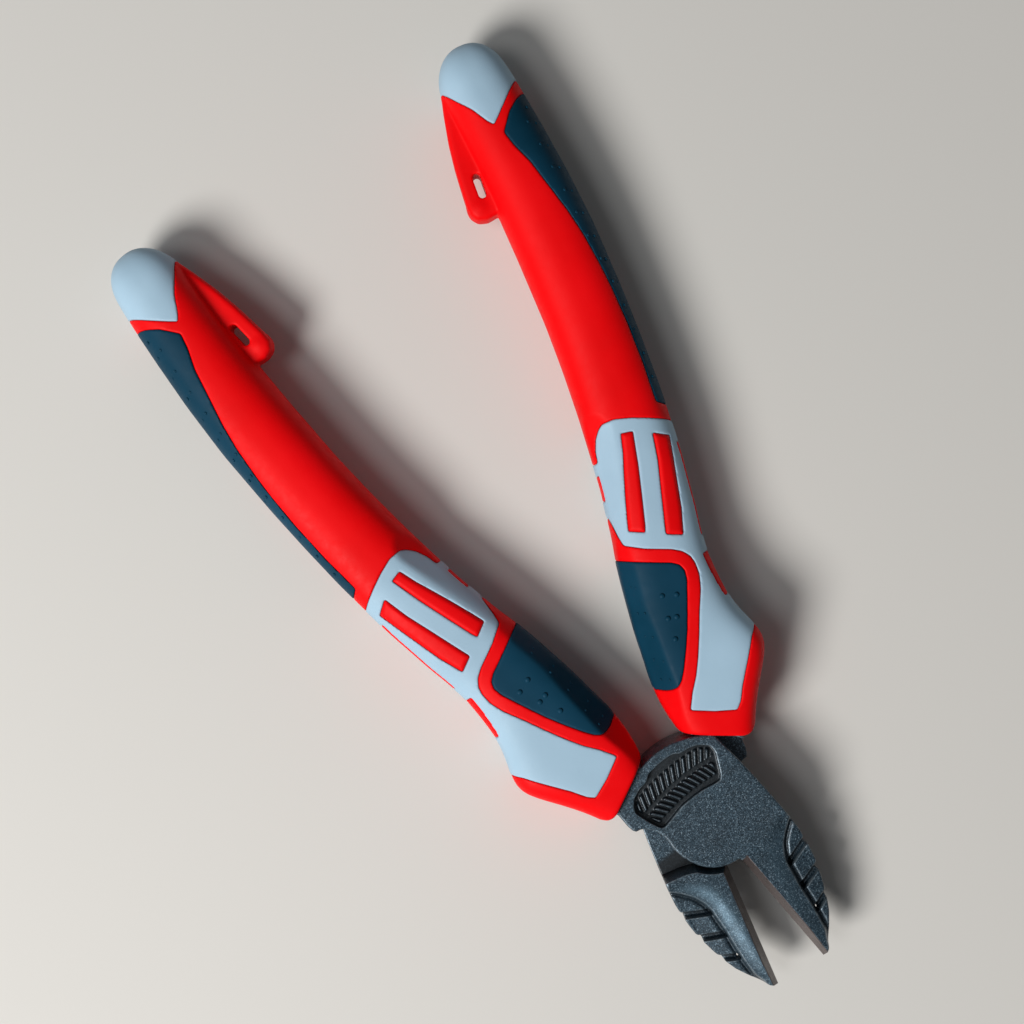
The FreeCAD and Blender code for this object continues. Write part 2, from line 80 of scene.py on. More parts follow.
FRONT = [(-8.0, -22.6), (-2.0, -20.6), (1.0, -19.5), (2.1, -18.9),
         (7.6, -16.35), (13.2, -13.8), (14.95, -13.75), (16.3, -14.6),
         (26.0, -15.8), (26.0, 6.0), (-8.0, 6.0)]
CREASE = np.array([(-96.0, 2.0), (-88.0, 8.6), (-84.0, 11.9),
                   (-81.0, 12.5), (-76.0, 11.3), (-70.0, 9.8),
                   (-64.0, 8.3), (-59.3, 7.2), (-53.7, 6.8), (-45.8, 5.6), (-38.7, 5.4), (-34.0, 5.1), (-28.8, 4.9),
                   (-26.0, 4.5), (-24.0, 4.1), (-21.0, 3.8), (-18.0, 4.0),
                   (-12.0, 4.6)], float)
CAP = [(-6.0, -155.9), (8.7, -155.9), (10.6, -152.8), (12.8, -149.8),
       (14.5, -146.6), (15.6, -145.2), (17.0, -146.4), (19.4, -148.7),
       (23.3, -152.7), (36.0, -153.6), (36.0, -178.0), (-6.0, -178.0)]
STRIP = [(36.0, -150.2), (23.9, -149.7), (21.9, -148.5), (19.5, -146.5),
         (16.8, -143.0), (17.6, -139.9), (19.3, -135.6), (20.5, -130.7),
         (22.3, -123.7), (23.3, -118.2), (24.0, -111.5), (24.3, -106.6),
         (24.4, -98.8), (24.1, -89.9), (23.7, -85.5), (23.45, -81.9),
         (25.3, -80.7), (36.0, -80.3)]
PAD = [(-8.0, -56.0), (3.9, -55.6), (6.7, -54.3), (10.0, -52.8),
       (13.4, -51.3), (14.7, -50.3), (15.2, -48.9), (14.8, -46.9),
       (12.9, -42.4), (11.0, -38.1), (8.9, -34.1), (7.1, -31.0), (5.9, -29.2),
       (4.8, -28.25), (3.6, -28.0), (2.3, -28.25), (0.85, -28.9),
       (-8.0, -29.6)]
CAGE = [(-8.0, -75.2), (8.0, -75.2), (8.5, -77.5), (9.5, -79.8),
        (10.7, -81.3), (11.7, -82.0), (14.2, -82.0), (17.5, -80.9),
        (20.5, -79.6), (23.0, -78.4), (25.2, -77.2), (36.0, -76.8),
        (36.0, -33.65), (23.8, -33.25), (22.2, -31.65), (20.5, -29.15),
        (18.4, -26.15), (16.7, -23.65), (15.0, -20.65), (13.8, -19.45),
        (9.6, -20.95), (5.2, -23.05), (6.9, -26.15), (8.9, -28.95),
        (10.7, -32.15), (12.7, -36.15), (14.5, -40.05), (16.7, -44.35),
        (17.6, -47.05), (17.75, -49.45), (17.4, -51.05), (16.3, -52.55),
        (14.5, -53.75), (9.6, -55.95), (6.1, -58.05), (5.85, -59.9),
        (5.75, -62.2), (5.6, -64.6), (-8.0, -64.9)]
WINDOWS = [
    [(14.32, -78.85), (16.72, -78.35), (15.02, -71.65), (13.42, -66.25),
     (11.52, -60.05), (11.02, -58.85), (8.02, -60.35), (8.62, -62.25),
     (10.02, -66.45), (11.52, -70.65), (13.22, -75.15)],
    [(20.22, -76.55), (23.22, -74.75), (22.02, -69.95), (20.92, -65.65),
     (19.62, -60.55), (17.82, -55.45), (14.62, -56.95), (15.62, -60.15),
     (17.42, -66.05), (19.02, -71.15), (19.87, -74.95)]]
SIDE_WINDOWS = [
    [(36.0, -73.4), (22.4, -72.9), (21.5, -65.5), (20.2, -59.6),
     (18.9, -53.9), (36.0, -53.4)],
    [(36.0, -50.8), (18.3, -50.4), (18.1, -48.0), (17.9, -45.6),
     (17.85, -42.5), (18.0, -41.0), (36.0, -40.6)],
    [(-8.0, -73.0), (9.0, -72.8), (8.4, -67.6), (-8.0, -67.4)]]
SIDE_HEIGHTS = (4.2, 5.9, 3.3)
LUG = [(11.0, -156.0), (8.5, -156.2), (7.3, -152.0), (6.0, -146.6),
       (5.1, -141.2), (4.6, -136.8), (4.25, -133.2), (4.4, -131.2),
       (5.3, -129.8), (7.2, -129.1), (9.4, -129.4), (12.5, -130.0),
       (12.5, -150.0)]
STRIP_DOTS = [(23.2, -146.3), (22.1, -143.3), (23.6, -142.65),
              (22.6, -138.2), (24.0, -137.6), (23.0, -133.1),
              (24.4, -132.6), (23.4, -127.9), (24.8, -127.4),
              (23.8, -122.9), (25.1, -122.4), (24.1, -117.8),
              (25.4, -117.3), (24.7, -112.6), (25.7, -112.2),
              (25.2, -107.5), (26.0, -107.1), (25.4, -102.3),
              (25.3, -97.1), (25.2, -91.9), (24.9, -86.9)]
PAD_BUMPS = [(8.97, -46.0), (11.72, -45.15), (8.27, -41.45), (9.97, -41.1),
             (7.97, -37.2)]
PAD_DOTS = [(4.15, -49.8), (4.9, -49.4), (3.3, -44.5), (4.5, -44.1),
            (2.9, -39.7), (4.1, -39.1), (2.6, -34.8), (4.1, -33.9),
            (2.3, -30.6), (3.8, -30.1)]

JAW = [(-0.015, 36.2), (-0.015, 9.0)]
DISC = [(0.3, 8.85), (1.1, 8.75), (2.4, 8.4), (3.9, 7.8), (5.2, 6.95),
        (6.3, 5.85), (7.2, 4.6), (7.95, 3.1), (8.5, 1.4), (8.75, 0.0),
        (8.8, -1.6), (8.67, -2.9), (8.7, -4.2), (9.05, -5.6), (9.8, -6.95),
        (10.6, -7.85), (11.4, -8.35), (12.3, -8.55), (12.7, -9.2),
        (12.9, -10.4), (12.9, -13.3)]
ROOT = [(13.6, -15.5), (16.2, -20.0), (16.8, -28.0), (16.4, -37.0),
        (6.3, -37.0), (5.4, -28.0), (4.8, -22.0), (4.2, -19.4),
        (3.2, -17.7)]
BACK = [(18.0 * math.cos(math.radians(a)), 18.0 * math.sin(math.radians(a)))
        for a in np.arange(-85.0, -132.1, -3.0)]
OUTER = [(-12.2, -13.0), (-12.35, -10.3), (-12.7, -6.0), (-13.0, 0.0),
         (-13.1, 5.0), (-13.1, 9.0), (-12.95, 12.5), (-12.55, 15.0),
         (-12.05, 17.5), (-11.5, 19.6), (-10.6, 22.0), (-9.55, 24.5),
         (-8.45, 26.8), (-6.85, 29.5), (-4.6, 32.2), (-1.7, 35.35)]
RECESS = [(4.05, -15.0), (3.0, -15.8), (1.3, -15.95), (-1.3, -16.0),
          (-3.35, -15.7), (-4.5, -14.85), (-6.7, -14.5), (-8.4, -13.8),
          (-10.1, -12.2), (-10.1, -10.5), (-8.0, -6.4), (-7.2, -5.6),
          (-6.0, -5.75), (-3.3, -6.35), (-0.7, -6.6), (2.1, -6.6),
          (5.1, -6.0), (7.4, -5.6), (8.15, -6.1), (9.05, -8.3),
          (10.0, -11.4), (9.4, -12.8), (8.3, -13.85), (6.4, -14.6),
          (4.7, -14.8)]
RIDGE = [(-16.0, 8.6), (-12.6, 9.3), (-10.4, 10.8), (-8.6, 12.3),
         (-7.3, 14.2), (-6.5, 16.0), (-6.1, 18.2), (-5.4, 21.6),
         (-5.0, 24.9), (-4.4, 28.5), (-3.7, 31.5), (-2.3, 33.9),
         (-1.5, 37.0), (-16.0, 37.0)]
GROOVES = [((-12.4, 15.2), (-6.2, 16.8)), ((-11.0, 20.9), (-5.5, 22.1)),
           ((-9.4, 26.2), (-4.8, 27.5))]


# --------------------------------------------------------------------------
# distance fields
# --------------------------------------------------------------------------
def densify(points, step):
    out = []
    n = len(points)
    for i in range(n):
        a, b = np.array(points[i]), np.array(points[(i + 1) % n])
        k = max(1, int(math.ceil(np.linalg.norm(b - a) / step)))
        for j in range(k):
            out.append(a + (b - a) * j / k)
    return np.array(out)


def rounded(points, step=1.6, passes=2):
    """Closed outline with its corners eased by corner cutting."""
    p = densify(points, step)
    for _ in range(passes):
        q = np.roll(p, -1, axis=0)
        p = np.stack([0.75 * p + 0.25 * q, 0.25 * p + 0.75 * q],
                     axis=1).reshape(-1, 2)
    return p


def poly_sdf(p, V, U):
    """Signed distance in the plan, negative inside."""
    best = np.full(V.shape, 1e9, F)
    inside = np.zeros(V.shape, bool)
    n = len(p)
    for i in range(n):
        ax, ay = p[i]
        bx, by = p[(i + 1) % n]
        ex, ey = bx - ax, by - ay
        ll = ex * ex + ey * ey
        if ll < 1e-12:
            continue
        wx, wy = V - F(ax), U - F(ay)
        t = np.clip((wx * ex + wy * ey) / ll, 0.0, 1.0)
        dx, dy = wx - t * ex, wy - t * ey
        np.minimum(best, dx * dx + dy * dy, out=best)
        cond = (U >= min(ay, by)) & (U < max(ay, by))
        if cond.any() and abs(ey) > 1e-12:
            inside ^= cond & (wx < wy * (ex / ey))
    d = np.sqrt(best)
    return np.where(inside, -d, d).astype(F)


def smax(a, b, r):
    h = np.maximum(r - np.abs(a - b), 0.0)
    return np.maximum(a, b) + h * h * (0.25 / r)


def smin(a, b, r):
    h = np.maximum(r - np.abs(a - b), 0.0)
    return np.minimum(a, b) - h * h * (0.25 / r)


def step01(x, lo, hi):
    t = np.clip((x - lo) / (hi - lo), 0.0, 1.0)
    return t * t * (3.0 - 2.0 * t)


def eased(u, xs, ys, width=1.3):
    """Table lookup smoothed along u."""
    fine = np.arange(xs.min() - 8.0, xs.max() + 8.0, 0.1)
    vals = np.interp(fine, xs, ys)
    k = np.exp(-0.5 * (np.arange(-50, 51) * 0.1 / width) ** 2)
    vals = np.convolve(np.pad(vals, 50, mode="edge"), k / k.sum(), "valid")
    return np.interp(u, fine, vals)


class Grid:
    def __init__(self, lo, hi, h):
        self.lo, self.h = np.array(lo, float), h
        n = [int(math.ceil((b - a) / h)) + 1 for a, b in zip(lo, hi)]
        ax = [(lo[i] + h * np.arange(n[i])).astype(F) for i in range(3)]
        self.v = ax[0][:, None, None]
        self.u = ax[1][None, :, None]
        self.z = ax[2][None, None, :]
        self.V, self.U = np.meshgrid(ax[0], ax[1], indexing="ij")

    def plan(self, points):
        return poly_sdf(points, self.V, self.U)[:, :, None]

    def sample(self, field, pts):
        q = (pts - self.lo) / self.h
        i = np.clip(np.floor(q).astype(int), 0, np.array(field.shape) - 2)
        f = q - i
        out = 0.0
        for a in (0, 1):
            for b in (0, 1):
                for c in (0, 1):
                    w = ((f[:, 0] if a else 1 - f[:, 0])
                         * (f[:, 1] if b else 1 - f[:, 1])
                         * (f[:, 2] if c else 1 - f[:, 2]))
                    out = out + w * field[i[:, 0] + a, i[:, 1] + b,
                                          i[:, 2] + c]
        return out

    def surface(self, field):
        """Quads on the zero level, outward facing."""
        band = 3.0 * self.h
        f = np.clip(field, -band, band).astype(np.float32)
        g = openvdb.FloatGrid(band)
        g.copyFromArray(np.ascontiguousarray(f), tolerance=0.0)
        pts, quads = g.convertToQuads(0.0)
        pts = np.asarray(pts, float) * self.h + self.lo
        quads = np.asarray(quads, int)
        a, b, c = (pts[quads[:, k]] for k in (0, 1, 2))
        vol = np.einsum("ij,ij->i", a, np.cross(b, c)).sum()
        if vol < 0:
            quads = quads[:, ::-1]
        return pts, quads


def curvature(field, h):
    out = np.zeros_like(field)
    c = field[1:-1, 1:-1, 1:-1]
    out[1:-1, 1:-1, 1:-1] = (
        field[2:, 1:-1, 1:-1] + field[:-2, 1:-1, 1:-1]
        + field[1:-1, 2:, 1:-1] + field[1:-1, :-2, 1:-1]
        + field[1:-1, 1:-1, 2:] + field[1:-1, 1:-1, :-2] - 6.0 * c) / (h * h)
    return out


# --------------------------------------------------------------------------
# meshes
# --------------------------------------------------------------------------
def place(pts, side, flip=False):
    """Closed lever frame to tool frame, metres."""
    v, u, z = pts[:, 0], pts[:, 1], pts[:, 2]
    if flip:
        z = -z
    c, s = math.cos(HALF), math.sin(HALF)
    x = side * (v * c - u * s)
    y = v * s + u * c
    return np.stack([x, y, z + MID], axis=1) * MM


def make_mesh(name, pts, quads, side, flip=False, attrs=None, extra=None):
    if side < 0 and not flip:
        quads = quads[:, ::-1]
    co = place(pts, side, flip)
    faces = [quads]
    tris = np.zeros((0, 3), int)
    if extra is not None:
        epts, etris = extra
        if side < 0 and not flip:
            etris = etris[:, ::-1]
        tris = etris + len(co)
        co = np.vstack([co, place(epts, side, flip)])
    me = bpy.data.meshes.new(name)
    nq, nt = len(quads), len(tris)
    me.vertices.add(len(co))
    me.vertices.foreach_set("co", co.astype(np.float32).ravel())
    me.loops.add(nq * 4 + nt * 3)
    me.loops.foreach_set("vertex_index", np.concatenate(
        [quads.ravel(), tris.ravel()]).astype(np.int32))
    me.polygons.add(nq + nt)
    starts = np.concatenate([np.arange(nq) * 4, nq * 4 + np.arange(nt) * 3])
    me.polygons.foreach_set("loop_start", starts.astype(np.int32))
    me.update(calc_edges=True)
    me.validate()
    me.polygons.foreach_set("use_smooth", np.ones(len(me.polygons), bool))
    for key, values in (attrs or {}).items():
        full = np.zeros(len(co), np.float32)
        full[:len(values)] = values
        at = me.attributes.new(key, "FLOAT", "POINT")
        at.data.foreach_set("value", full)
    ob = bpy.data.objects.new(name, me)
    bpy.context.scene.collection.objects.link(ob)
    return ob


def domes(grid, field, spots, radius, height, sink=0.12, both=True):
    """Small raised dots sitting on a surface, front and back."""
    rings, segs = 4, 12
    pts, tris = [], []
    zz = grid.z.ravel()
    for v, u in spots:
        i = int(round((v - grid.lo[0]) / grid.h))
        j = int(round((u - grid.lo[1]) / grid.h))
        col = field[i, j, :]
        neg = np.where(col < 0)[0]
        if len(neg) == 0:
            continue
        for top in ((True, False) if both else (True,)):
            k = neg[-1] if top else neg[0]
            k2 = k + 1 if top else k - 1
            t = col[k] / (col[k] - col[k2])
            z = zz[k] + (zz[k2] - zz[k]) * t
            p = np.array([[v, u, z]])
            e = grid.h
            n = np.array([
                (grid.sample(field, p + d) - grid.sample(field, p - d))[0]
                for d in (np.array([[e, 0, 0]]), np.array([[0, e, 0]]),
                          np.array([[0, 0, e]]))])
            n /= np.linalg.norm(n)
            t1 = np.cross(n, [0, 1, 0.1])
            t1 /= np.linalg.norm(t1)
            t2 = np.cross(n, t1)
            base = len(pts)
            c0 = p[0]
            pts.append(c0 + n * height)
            for r in range(1, rings + 1):
                a = 0.5 * math.pi * r / rings
                rr, hh = radius * math.sin(a), height * math.cos(a)
                if r == rings:
                    hh = -sink
                for q in range(segs):
                    w = 2 * math.pi * q / segs
                    pts.append(c0 + n * hh + rr * (math.cos(w) * t1
                                                   + math.sin(w) * t2))
            for q in range(segs):
                q2 = (q + 1) % segs
                tris.append((base, base + 1 + q, base + 1 + q2))
                for r in range(rings - 1):
                    a0 = base + 1 + r * segs
                    b0 = a0 + segs
                    tris.append((a0 + q, b0 + q, b0 + q2))
                    tris.append((a0 + q, b0 + q2, a0 + q2))
            bottom = base + 1 + (rings - 1) * segs
            for q in range(1, segs - 1):
                tris.append((bottom, bottom + q + 1, bottom + q))
    return np.array(pts), np.array(tris)


def extra_from(*sets):
    pts, tris, base = [], [], 0
    for p, t in sets:
        pts.append(p)
        tris.append(t + base)
        base += len(p)
    pts, tris = np.vstack(pts), np.vstack(tris)
    a, b, c = (pts[tris[:, k]] for k in (0, 1, 2))
    return pts, tris


# --------------------------------------------------------------------------
# grips
# --------------------------------------------------------------------------
def build_grip():
    g = Grid((-3.4, -166.0, -10.4), (28.4, -12.6, 10.4), H_GRIP)
    u1 = g.u.ravel()
    order = np.argsort(GRIP[:, 0])
    T = GRIP[order]
    inner = eased(u1, T[:, 0], T[:, 1]).astype(F)[None, :, None]
    outer = eased(u1, T[:, 0], T[:, 2]).astype(F)[None, :, None]
    half = eased(u1, T[:, 0], T[:, 3], 2.0).astype(F)[None, :, None]
    power = eased(u1, T[:, 0], T[:, 4], 3.0).astype(F)[None, :, None]
    c, a = (inner + outer) / 2, (outer - inner) / 2
    end = np.clip((END_U - g.u) / END_L, 0.0, None).astype(F)
    # the nose of the end cap leans a little to the outside
    c = c + 0.6 * step01(-g.u, 155.0, 166.0).astype(F)
    sec = (np.abs((g.v - c) / a) ** power + np.abs(g.z / half) ** power)
    sec = sec ** (1.0 / power)
    body = (sec ** END_P + end ** END_P) ** (1.0 / END_P) - 1.0
    gx, gy, gz = np.gradient(body.astype(F), H_GRIP)
    norm = np.sqrt(gx * gx + gy * gy + gz * gz)
    body = (body / np.maximum(norm, 0.02)).astype(F)
    del gx, gy, gz, norm, sec
    # faceted thumb side: a slope from a crease down to the inner edge
    cre = eased(u1, CREASE[:, 0], CREASE[:, 1], 0.9).astype(F)[None, :, None]
    ang = np.radians(53.1 - 9.1 * step01(-g.u, 53.0, 62.0)).astype(F)
    lift = (0.15 + 0.60 * step01(-g.u, 53.0, 62.0)).astype(F)
    slope = ((cre - g.v) * np.sin(ang)
             + (np.abs(g.z) - half + lift) * np.cos(ang))
    body = smax(body, slope, 0.45)
    # front end, eased over
    front = g.plan(rounded(FRONT, 2.0, 2))
    body = smax(body, -front, 0.7)
    # the other lever's plate turns under the front lip
    rad = np.sqrt(g.v ** 2 + g.u ** 2)
    body = smax(body, -np.maximum(rad - 18.4, np.abs(g.z) - 6.1), 0.2)

    cap = g.plan(rounded(CAP, 1.0))
    strip = g.plan(rounded(STRIP, 1.0))
    pad = g.plan(rounded(PAD, 1.3))
    cage0 = g.plan(rounded(CAGE, 1.0))
    wins = np.minimum(*[g.plan(rounded(w, 0.8)) for w in WINDOWS])
    sides = [smax(g.plan(rounded(w, 0.8)), np.abs(g.z) - F(top), 0.6)
             for w, top in zip(SIDE_WINDOWS, SIDE_HEIGHTS)]
    side = np.minimum(np.minimum(sides[0], sides[1]), sides[2])
    cage = np.maximum(cage0, -np.minimum(wins, side))
    depth = -(body + 1.55)

    def skin(region, proud, edge=0.22):
        f = smax(body - proud, region + 0.02, edge)
        return np.maximum(f, depth)

    fields = {
        "end_cap": skin(cap, 0.05),
        "back_strip": skin(strip, 0.02),
        "thumb_pad": skin(pad, 0.08),
        "grip_cage": skin(cage, 0.06),
    }
    taken = np.minimum(np.minimum(cap, strip), np.minimum(pad, cage))
    # the ribs in the two big windows stand a little proud
    rib = step01(-wins, 0.05, 0.75).astype(F)
    shell = smax(body + 0.01 - 0.24 * rib, 0.02 - taken, 0.2)
    core = np.minimum(shell, body + 1.5)

    # tether lug: a tapering web with a thick rounded nose, and its slot
    lug2 = g.plan(rounded(LUG, 1.2, 2))
    lz = (2.6 + 0.7 * step01(g.u, -156.0, -134.0)).astype(F)
    lug = smax(lug2, np.abs(g.z) - lz, 1.3)
    nose = np.sqrt((g.v - 6.6) ** 2 + (g.u + 131.9) ** 2
                   + (g.z * 0.72) ** 2) - 2.45
    lug = smin(lug, nose.astype(F), 0.9)
    lug = np.maximum(lug, -(cap - 0.0))
    core = smin(core, lug, 0.45)
    lean = math.radians(3.0)
    sv, su = g.v - 8.3, g.u + 136.0
    along = su * math.cos(lean) - sv * math.sin(lean)
    across = sv * math.cos(lean) + su * math.sin(lean)
    slot = np.sqrt(across ** 2 + np.maximum(np.abs(along) - 1.8, 0) ** 2) - 0.8
    core = smax(core, -slot.astype(F), 0.4)
    fields["grip_core"] = core
    return g, body, fields


MATERIALS = {}


def finish_piece(ob, body, node, material):
    ob.data.materials.append(material)
    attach(ob, body)
    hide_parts(node)
    return ob


# --------------------------------------------------------------------------
# levers
# --------------------------------------------------------------------------
def build_lever(front):
    g = Grid((-15.2, -38.0, -6.6), (18.4, 37.2, 6.6), H_HEAD)
    outline = np.array(JAW + DISC + ROOT + BACK + OUTER)
    # scallops where the outer grooves run off the edge
    plan = g.plan(outline)
    zt = (5.8 - 2.8 * np.clip((g.u - 9.0) / 27.2, 0, 1.1)).astype(F)
    rd = -g.plan(rounded(RIDGE, 1.2, 2))
    # the land is crowned towards its ridge, the blocks step down from it
    drop = 0.66 * (1.0 - step01(-rd, 0.0, 3.2)) * (rd < 0.0)
    drop = drop + 0.66 * (rd >= 0.0) + 0.80 * step01(rd, -0.05, 0.45)
    drop = drop + 0.14 * np.clip(rd - 0.6, 0, 7)
    # a narrow valley along the foot of the ridge
    drop = drop + 0.55 * np.exp(-((rd - 0.75) / 0.42) ** 2)
    low = np.zeros_like(rd)
    for (av, au), (bv, bu) in GROOVES:
        ev, eu = bv - av, bu - au
        ln = math.hypot(ev, eu)
        t = ((g.V - av) * ev + (g.U - au) * eu) / (ln * ln)
        d = ((g.V - av) * -eu + (g.U - au) * ev) / ln
        d = d[:, :, None]
        t = t[:, :, None]
        reach = step01(rd, 0.1, 0.7)
        drop = drop + 1.9 * reach * np.exp(-(np.abs(d) / 0.62) ** 6)
        # painted shadow down one side of each groove
        low = np.maximum(low, 0.9 * reach * np.exp(-(np.abs(d) / 0.75) ** 6)
                         * step01(-d, -0.8, 0.4))
        plan = plan + 0.45 * np.exp(-(np.abs(d) / 0.75) ** 4) * step01(
            -t, -0.35, 0.1)
    active = step01(g.u, 7.8, 9.2)
    # painted shade along the valley at the ridge's foot
    low = np.maximum(low, 0.6 * np.exp(-((rd - 0.7) / 0.4) ** 2)) * active
    low = low * (np.abs(g.z) > 0.2)
    # painted highlight along the crown of each land, stronger on the lower lever
    land_highlight = np.exp(-((rd + 1.9) / 1.5) ** 2) * step01(g.u, 8.0, 11.5)
    land_highlight = land_highlight * (1.0 - 0.55 * step01(g.u, 16.0, 34.0))
    land_highlight = land_highlight * ((g.z > 0) if front else (g.z < 0))
    land_highlight = land_highlight * (0.22 if front else 0.75)
    top = np.abs(g.z) - zt + (drop * active).astype(F)
    body = smax(plan.astype(F), top.astype(F), 0.5)
    # lap: this lever keeps one half of the thickness at the joint
    sr, pr = 18.35, 9.3
    a0 = math.degrees(math.atan2(7.106, -6.0))
    arc = lambda r, a, b, n: [(r * math.cos(math.radians(a + (b - a) * i / n)),
                               r * math.sin(math.radians(a + (b - a) * i / n)))
                              for i in range(n + 1)]
    lap = ([(-20.0, 6.8), (-9.2, 6.6), (-7.6, 6.75)] + arc(pr, a0, 88.0, 16)
           + [(0.4, 13.0), (22.0, 13.0), (22.0, -5.0)]
           + arc(sr, -19.0, -140.0, 60) + [(-20.0, -11.5)])
    lap2 = g.plan(np.array(lap))
    # and the pocket's wall leans back from the disc towards the face
    lean = F(0.10) * np.clip(-g.z, 0, 6) * (g.u > 3.0)
    body = smax(body, -np.maximum(lap2 - lean, g.z - 0.03), 0.12)
    # painted shadow on the lap face in the corner by the pocket's wall
    pocket_shadow = step01(g.u + 0.25 * g.v, 0.1, 1.5) * step01(
        -lap2 + 0.4, 0.0, 0.3) * (g.u > 1.0) * (g.v < 0.5)
    low = np.maximum(low, 0.93 * pocket_shadow * (g.z < 4.6))
    # ground bevel down to the cutting edge
    k = 1.4 / zt
    bev = (((g.v + 0.015) + k * np.abs(g.z)) / np.sqrt(1 + k * k)).astype(F)
    body = smax(body, np.minimum(bev, (g.u - 9.5) * 0.8), 0.12)
    # bore for the rivet
    rad = np.sqrt(g.v ** 2 + g.u ** 2)
    if front:
        # the coated face closes over the rivet's front end
        bore = np.maximum(rad - 4.06, g.z - 4.8)
    else:
        rr = 4.02 + 1.42 * np.clip((g.z - 3.4) / 2.4, 0, 1)
        bore = (rad - rr)
    body = np.maximum(body, -bore.astype(F))
    if front:
        rec = g.plan(rounded(RECESS, 1.2, 2))
        # floor with a herringbone of short raised bars in two curved rows
        cy = 29.0
        r = np.sqrt(g.V ** 2 + (g.U - cy) ** 2)
        th = np.degrees(np.arctan2(g.V, cy - g.U))
        bars = np.zeros_like(r)
        for r0, r1, lean in ((36.5, 39.2, 1.0), (40.1, 43.1, -1.0)):
            ph = th - lean * (r - (r0 + r1) / 2) * 0.75
            cell = np.abs(((ph / 1.9) % 1.0) - 0.5) * 1.9 / 57.3 * r
            row = step01(np.minimum(r - r0, r1 - r), -0.05, 0.22)
            bars = np.maximum(bars, row * (1 - step01(cell, 0.22, 0.42)))
        inner = step01(-rec, 0.55, 1.0)[:, :, 0]
        floor = 1.5 - 0.75 * bars * inner
        cut = smax(rec, (5.8 - floor[:, :, None]) - g.z, 0.12)
        body = smax(body, -cut.astype(F), 0.2)
        # painted shade over the sunk recess, darker between the bars
        sunk = step01(-rec, -0.15, 0.1) * step01(5.75 - g.z, 0.0, 0.6)
        gap = (1.0 - bars * inner)[:, :, None]
        low = np.maximum(low, (0.45 + 0.45 * gap) * sunk)
    return g, body.astype(F), np.broadcast_to(low, body.shape).astype(F), np.broadcast_to(
        land_highlight, body.shape).astype(F)


# --------------------------------------------------------------------------
# materials
# --------------------------------------------------------------------------
def new_material(name):
    m = bpy.data.materials.new(name)
    m.use_nodes = True
    nt = m.node_tree
    return m, nt, nt.nodes["Principled BSDF"]


def node(nt, kind, **kw):
    n = nt.nodes.new(kind)
    for k, v in kw.items():
        setattr(n, k, v)
    return n


def noise(nt, coord, scale, detail=3.0, rough=0.5):
    n = node(nt, "ShaderNodeTexNoise")
    n.inputs["Scale"].default_value = scale
    n.inputs["Detail"].default_value = detail
    n.inputs["Roughness"].default_value = rough
    nt.links.new(coord, n.inputs["Vector"])
    return n


def ramp(nt, fac, stops):
    r = node(nt, "ShaderNodeValToRGB")
    els = r.color_ramp.elements
    while len(els) < len(stops):
        els.new(0.5)
    for e, (p, c) in zip(els, stops):
        e.position = p
        e.color = (c[0], c[1], c[2], 1.0)
    nt.links.new(fac, r.inputs["Fac"])
    return r


def bump(nt, height, strength, distance, prev=None):
    b = node(nt, "ShaderNodeBump")
    b.inputs["Strength"].default_value = strength
    b.inputs["Distance"].default_value = distance
    nt.links.new(height, b.inputs["Height"])
    if prev is not None:
        nt.links.new(prev, b.inputs["Normal"])
    return b


def moulded(name, dark, base, light, rough, grain, spec=0.5, sheen=0.0):
    """Moulded plastic or rubber: soft colour drift, fine grain."""
    m, nt, p = new_material(name)
    tc = node(nt, "ShaderNodeTexCoord").outputs["Object"]
    big = noise(nt, tc, 55.0, 3.0)
    col = ramp(nt, big.outputs["Fac"], [(0.25, dark), (0.5, base),
                                        (0.8, light)])
    fine = noise(nt, tc, 5200.0, 2.0, 0.6)
    mid = noise(nt, tc, 700.0, 3.0, 0.6)
    rr = ramp(nt, mid.outputs["Fac"], [(0.3, (rough - 0.05,) * 3),
                                       (0.7, (rough + 0.07,) * 3)])
    nt.links.new(col.outputs["Color"], p.inputs["Base Color"])
    nt.links.new(rr.outputs["Color"], p.inputs["Roughness"])
    b1 = bump(nt, mid.outputs["Fac"], 0.10, 0.0002)
    b2 = bump(nt, fine.outputs["Fac"], grain, 0.00006,
              b1.outputs["Normal"])
    nt.links.new(b2.outputs["Normal"], p.inputs["Normal"])
    p.inputs["Specular IOR Level"].default_value = spec
    if sheen:
        p.inputs["Sheen Weight"].default_value = sheen
        p.inputs["Sheen Roughness"].default_value = 0.4
    return m


